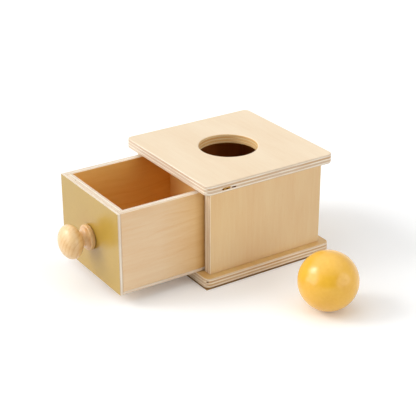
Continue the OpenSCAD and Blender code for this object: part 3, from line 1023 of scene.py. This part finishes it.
def knob_profile():
    """Outline of the knob as (radius, distance from the facing), with its screw hole."""
    length, head_t, head_r = 25.4 * MM, 17.4 * MM, 13.6 * MM
    collar_r, collar_t, neck_r = 10.2 * MM, 4.2 * MM, 5.5 * MM
    lip = collar_t / 4
    lip_r = collar_r - lip
    head_y = length - head_t / 2
    neck_rise = head_y - head_t / 2 - collar_t
    hole_tip, hole_t = 12.9 * MM, 11 * MM
    outline = [(0, hole_tip), (KNOB_SCREW_R, hole_t), (KNOB_SCREW_R, 0)]
    outline += [(lip_r, 0), (lip_r, lip / 2), (collar_r - lip / 4, 0.6 * lip), (collar_r, lip)]
    for degrees in range(0, 91, 10):
        turn = math.radians(degrees)
        outline.append((collar_r - lip * (1 - math.cos(turn)), collar_t - lip * (1 - math.sin(turn))))
    for degrees in range(5, 91, 5):
        turn = math.radians(degrees)
        narrowing = (lip_r - neck_r) * math.sin(turn)
        outline.append((lip_r - narrowing, collar_t + neck_rise * (1 - math.cos(turn))))
    start = math.asin(neck_r / head_r)
    steps = 40
    for k in range(steps + 1):
        turn = start + (math.pi - start) * k / steps
        outline.append((max(0, head_r * math.sin(turn)), head_y - head_t / 2 * math.cos(turn)))
    return outline


def make_knob():
    """The turned knob."""
    finish = bpy.context.scene.permanence_box_finish
    place = Vector((0, FACING_FRONT_Y, KNOB_HEIGHT))
    bm = turn_profile(knob_profile(), place, -Y_AXIS, 96)
    heart = place + Vector((-39.3 * MM, -51.1 * MM, 29.6 * MM))
    colours = (finish.knob_pale, finish.knob_deep)
    wood = turned_material(
        "turned_birch_wood", colours, "XYZ", heart, ring_gap=3.1 * MM, coat=0.6, tilt=math.radians(40.7)
    )
    new_piece("knob_turned", bm, [wood], "drawer", "turned_birch", "knob", even=False)


def make_knob_screw():
    """The domed screw that holds the knob, seen from inside the drawer."""
    low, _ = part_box("knob_screw")
    place = Vector((0, FRONT_BOARD_INNER_Y, KNOB_HEIGHT))
    tip = low.y - FRONT_BOARD_INNER_Y
    head_r, flat_r, rise, skirt = 4.4 * MM, 2.6 * MM, 1.9 * MM, 0.35 * MM
    point = 2 * MM
    outline = [(0, tip), (KNOB_SCREW_R, tip + point), (KNOB_SCREW_R, 0), (head_r, 0), (head_r, skirt)]
    steps = 8
    for k in range(1, steps + 1):
        turn = math.pi / 2 * k / steps
        outline.append((flat_r + (head_r - flat_r) * math.cos(turn), skirt + (rise - skirt) * math.sin(turn)))
    outline.append((0, rise))
    bm = turn_profile(outline, place, Y_AXIS, 32)
    top = place + Y_AXIS * rise
    flatten_cap(bm, top, Y_AXIS, flat_r)
    sink_cross(bm, top, Y_AXIS, 2.0 * MM, 0.45 * MM, 1.0 * MM)
    new_piece("knob_fixing_screw", bm, [zinc_material()], "drawer", "zinc_steel", "knob_screw")


def make_base_screws():
    """Six countersunk wood screws, seen from below."""
    low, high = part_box("base_screws")
    length = high.z - low.z
    shank = 1.5 * MM
    outline = [(0, 0), (SCREW_HEAD_R - 0.08 * MM, 0), (SCREW_HEAD_R, 0.06 * MM), (shank, 1.5 * MM)]
    outline += [(shank, length - 3 * MM), (0, length)]
    meshes = []
    for x, y in WALL_FIXINGS:
        place = Vector((x, y, low.z))
        bm = turn_profile(outline, place, Z_AXIS, 32)
        flatten_cap(bm, place, -Z_AXIS, SCREW_HEAD_R)
        sink_cross(bm, place, -Z_AXIS, 1.8 * MM, 0.4 * MM, 1.1 * MM)
        meshes.append(bm)
    new_piece("base_screw_set", join_meshes(meshes), [zinc_material()], "box", "zinc_steel", "base_screws")


def make_brads():
    """Ten brads with slightly domed heads under the drawer."""
    low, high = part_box("drawer_brads")
    length = high.z - low.z
    head = [(0, 0), (0.6 * BRAD_HEAD_R, 0.04 * MM), (0.92 * BRAD_HEAD_R, 0.14 * MM), (BRAD_HEAD_R, 0.28 * MM)]
    shank = [(BRAD_HEAD_R, 0.6 * MM), (BRAD_R, 0.65 * MM), (BRAD_R, length - 2 * BRAD_R), (0, length)]
    meshes = [
        turn_profile(head + shank, Vector((x, y, low.z)), Z_AXIS, 16) for x, y in SIDE_BRADS + END_BRADS
    ]
    new_piece("brad_set", join_meshes(meshes), [zinc_material()], "drawer", "zinc_steel", "drawer_brads")


def make_ball():
    """The ball with one tiny dimple."""
    dimple_r = bpy.context.scene.permanence_box_shape.ball_dimple
    low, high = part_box("ball")
    middle = (low + high) / 2
    # A hair inside the solid's own box
    radius = (high.z - low.z) / 2 - 0.01 * MM
    bm = bmesh.new()
    bmesh.ops.create_icosphere(bm, subdivisions=6, radius=radius, matrix=Matrix.Translation(middle))
    outward = Vector((0.898, -0.0505, 0.4365)).normalized()
    dimple = middle + outward * radius
    near = [e for e in bm.edges if all((v.co - dimple).length < 3 * dimple_r for v in e.verts)]
    bmesh.ops.subdivide_edges(bm, edges=near, cuts=5, use_grid_fill=True)
    for v in bm.verts:
        v.co = middle + (v.co - middle).normalized() * radius
        away = (v.co - dimple).length / dimple_r
        if away < 1:
            v.co -= outward * 0.3 * dimple_r * (1 - away * away) ** 2
    new_piece("wood_ball", bm, [ball_material()], "ball", "yellow_ball", "ball", even=False)


def finish_dowels():
    """Raw wood for the hidden dowels, whose CAD solids stay."""
    finish = bpy.context.scene.permanence_box_finish
    colours = (finish.dowel_pale, finish.dowel_deep)
    for node, order in (("top_dowels", "XYZ"), ("rear_wall_dowels", "YZX")):
        heart = (0.07, 0.09, 0.05)
        wood = turned_material(node + "_raw", colours, order, heart, ring_gap=1.8 * MM, coat=0.0)
        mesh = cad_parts[node].data
        mesh.materials.clear()
        mesh.materials.append(wood)


# The stage


def floor_material():
    """White paper that shows the camera soft shadows, with a dark brown painted shadow under the base and
    just past its edges.
    """
    studio = bpy.context.scene.permanence_box_studio
    values = {"Emission Strength": 1.0, "Roughness": 0.9, "Specular IOR Level": 0.0}
    net = MaterialNet("studio_floor_paper", values)
    paper = net.noise(net.place, 60.0)
    colour = net.mix(paper, opaque(studio.floor_colour), opaque(studio.floor_colour, 0.998))
    parts = net.split(net.place)
    reach = net.math("MAXIMUM", net.math("ABSOLUTE", parts["X"]), net.math("ABSOLUTE", parts["Y"]))
    _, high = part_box("base_panel")
    # Painted shadow: the floor under the base, and 0.4 mm past its edges, turns dark brown
    hidden = net.ramp(reach, high.x - 0.4 * MM, high.x + 0.4 * MM, 1.0, 0.0)
    colour = net.mix(hidden, colour, opaque(studio.floor_painted_shadow))
    rays = net.add("LightPath").outputs
    seen = net.math("MAXIMUM", rays["Is Camera Ray"], rays["Is Glossy Ray"])
    seen = net.math("MAXIMUM", seen, rays["Is Transmission Ray"])
    bare = net.math("MULTIPLY", seen, net.math("SUBTRACT", 1.0, hidden))
    net.feed(net.shader, {
        "Base Color": net.mix(seen, opaque(studio.floor_bounce), colour),
        "Emission Color": net.mix(bare, (0, 0, 0, 1), opaque(studio.floor_lift)),
    })
    return net.material


def make_world():
    """A white surround whose part behind the camera is darker."""
    studio = bpy.context.scene.permanence_box_studio
    world = bpy.data.worlds.new("studio_surround")
    bpy.context.scene.world = world
    world.use_nodes = True
    world.node_tree.nodes.clear()
    net = Net(world.node_tree)
    outward = net.add("TexCoord").outputs["Generated"]
    feeds = {0: outward, 1: CAMERA_BACKWARD}
    toward_camera = net.add("VectorMath", feeds, operation="DOT_PRODUCT").outputs["Value"]
    room = net.ramp(toward_camera, 0.45, 0.9, 1.0, 0.15, smooth=True)
    rays = net.add("LightPath").outputs
    surround = net.blend(rays["Is Glossy Ray"], studio.fill_strength, 1.0)
    strength = net.blend(rays["Is Camera Ray"], net.math("MULTIPLY", surround, room), 1.0)
    background = net.add("Background", {"Color": (1, 1, 1, 1), "Strength": strength})
    net.add("OutputWorld", {"Surface": background.outputs[0]})


def make_stage():
    """White floor, soft lamps and the camera of the photograph."""
    scene = bpy.context.scene
    studio = scene.permanence_box_studio
    bm = bmesh.new()
    bmesh.ops.create_grid(bm, x_segments=2, y_segments=2, size=30)
    bmesh.ops.translate(bm, vec=(0, 0, -studio.floor_gap), verts=bm.verts)
    mesh = bpy.data.meshes.new("studio_floor")
    bm.to_mesh(mesh)
    bm.free()
    mesh.materials.append(floor_material())
    floor = bpy.data.objects.new("studio_floor", mesh)
    scene.collection.objects.link(floor)
    make_world()

    for name, strength, angle, direction in (
        ("key_lamp", studio.key_strength, 22, Vector((-0.45, -0.64, 0.61))),
        ("canopy_lamp", studio.canopy_strength, 100, Vector((-0.45, -0.60, 0.66))),
        ("overhead_lamp", studio.overhead_strength, 90, Vector((0, 0, 1))),
        ("front_lamp", studio.front_strength, 60, Vector((-0.40, -0.86, 0.32))),
        ("side_lamp", studio.side_strength, 60, Vector((0.85, 0.35, 0.2))),
    ):
        light = bpy.data.lights.new(name, "SUN")
        light.energy = strength
        light.angle = math.radians(angle)
        lamp = bpy.data.objects.new(name, light)
        lamp.location = direction.normalized() * 2
        lamp.rotation_euler = direction.to_track_quat("Z", "Y").to_euler()
        scene.collection.objects.link(lamp)

    camera_data = bpy.data.cameras.new("photograph_camera")
    camera_data.sensor_width = 36
    camera_data.sensor_fit = "HORIZONTAL"
    camera_data.lens = studio.focal_length
    camera_data.clip_end = 100
    camera = bpy.data.objects.new("photograph_camera", camera_data)
    backward = Vector(CAMERA_BACKWARD).normalized()
    rightward = Vector(CAMERA_RIGHTWARD)
    rightward = (rightward - backward * rightward.dot(backward)).normalized()
    turn = Matrix((rightward, backward.cross(rightward), backward)).transposed().to_4x4()
    camera.matrix_world = Matrix.Translation(CAMERA_PLACE) @ turn
    scene.collection.objects.link(camera)
    scene.camera = camera
    scene.view_settings.view_transform = "Standard"


# The add-on


class PERMANENCE_BOX_OT_panels(bpy.types.Operator):
    """Make the top and base panels"""

    bl_idname = "permanence_box.panels"
    bl_label = "Panels"

    def execute(self, context):
        make_top_panel()
        make_base_panel()
        return {"FINISHED"}


class PERMANENCE_BOX_OT_walls(bpy.types.Operator):
    """Make the side walls and the rear wall"""

    bl_idname = "permanence_box.walls"
    bl_label = "Walls"

    def execute(self, context):
        make_walls()
        return {"FINISHED"}


class PERMANENCE_BOX_OT_drawer(bpy.types.Operator):
    """Make the drawer's boards"""

    bl_idname = "permanence_box.drawer"
    bl_label = "Drawer boards"

    def execute(self, context):
        make_drawer_boards()
        return {"FINISHED"}


class PERMANENCE_BOX_OT_facing(bpy.types.Operator):
    """Make the painted facing"""

    bl_idname = "permanence_box.facing"
    bl_label = "Painted facing"

    def execute(self, context):
        make_facing()
        return {"FINISHED"}


class PERMANENCE_BOX_OT_knob(bpy.types.Operator):
    """Make the turned knob"""

    bl_idname = "permanence_box.knob"
    bl_label = "Knob"

    def execute(self, context):
        make_knob()
        return {"FINISHED"}


class PERMANENCE_BOX_OT_hardware(bpy.types.Operator):
    """Make the screws and brads, and finish the dowels"""

    bl_idname = "permanence_box.hardware"
    bl_label = "Screws, brads and dowels"

    def execute(self, context):
        make_knob_screw()
        make_base_screws()
        make_brads()
        finish_dowels()
        return {"FINISHED"}


class PERMANENCE_BOX_OT_ball(bpy.types.Operator):
    """Make the ball"""

    bl_idname = "permanence_box.ball"
    bl_label = "Ball"

    def execute(self, context):
        make_ball()
        return {"FINISHED"}


class PERMANENCE_BOX_OT_stage(bpy.types.Operator):
    """Make the floor, the lamps and the camera"""

    bl_idname = "permanence_box.stage"
    bl_label = "Stage"

    def execute(self, context):
        make_stage()
        return {"FINISHED"}


OPERATORS = (
    PERMANENCE_BOX_OT_panels,
    PERMANENCE_BOX_OT_walls,
    PERMANENCE_BOX_OT_drawer,
    PERMANENCE_BOX_OT_facing,
    PERMANENCE_BOX_OT_knob,
    PERMANENCE_BOX_OT_hardware,
    PERMANENCE_BOX_OT_ball,
    PERMANENCE_BOX_OT_stage,
)


class PERMANENCE_BOX_PT_finish(bpy.types.Panel):
    """Steps that dress the permanence box"""

    bl_idname = "PERMANENCE_BOX_PT_finish"
    bl_label = "Permanence Box"
    bl_space_type = "VIEW_3D"
    bl_region_type = "UI"
    bl_category = "Permanence Box"

    def draw(self, context):
        for operator in OPERATORS:
            self.layout.operator(operator.bl_idname)


GROUPS = {
    "permanence_box_shape": PermanenceBoxShape,
    "permanence_box_plywood": PermanenceBoxPlywood,
    "permanence_box_finish": PermanenceBoxFinish,
    "permanence_box_studio": PermanenceBoxStudio,
}


def register():
    for name, group in GROUPS.items():
        bpy.utils.register_class(group)
        setattr(bpy.types.Scene, name, PointerProperty(type=group))
    for operator in OPERATORS:
        bpy.utils.register_class(operator)
    bpy.utils.register_class(PERMANENCE_BOX_PT_finish)


def unregister():
    bpy.utils.unregister_class(PERMANENCE_BOX_PT_finish)
    for operator in reversed(OPERATORS):
        bpy.utils.unregister_class(operator)
    for name, group in reversed(GROUPS.items()):
        delattr(bpy.types.Scene, name)
        bpy.utils.unregister_class(group)


def main():
    register()
    bpy.ops.permanence_box.panels()
    bpy.ops.permanence_box.walls()
    bpy.ops.permanence_box.drawer()
    bpy.ops.permanence_box.facing()
    bpy.ops.permanence_box.knob()
    bpy.ops.permanence_box.hardware()
    bpy.ops.permanence_box.ball()
    bpy.ops.permanence_box.stage()


if __name__ == "__main__":
    main()
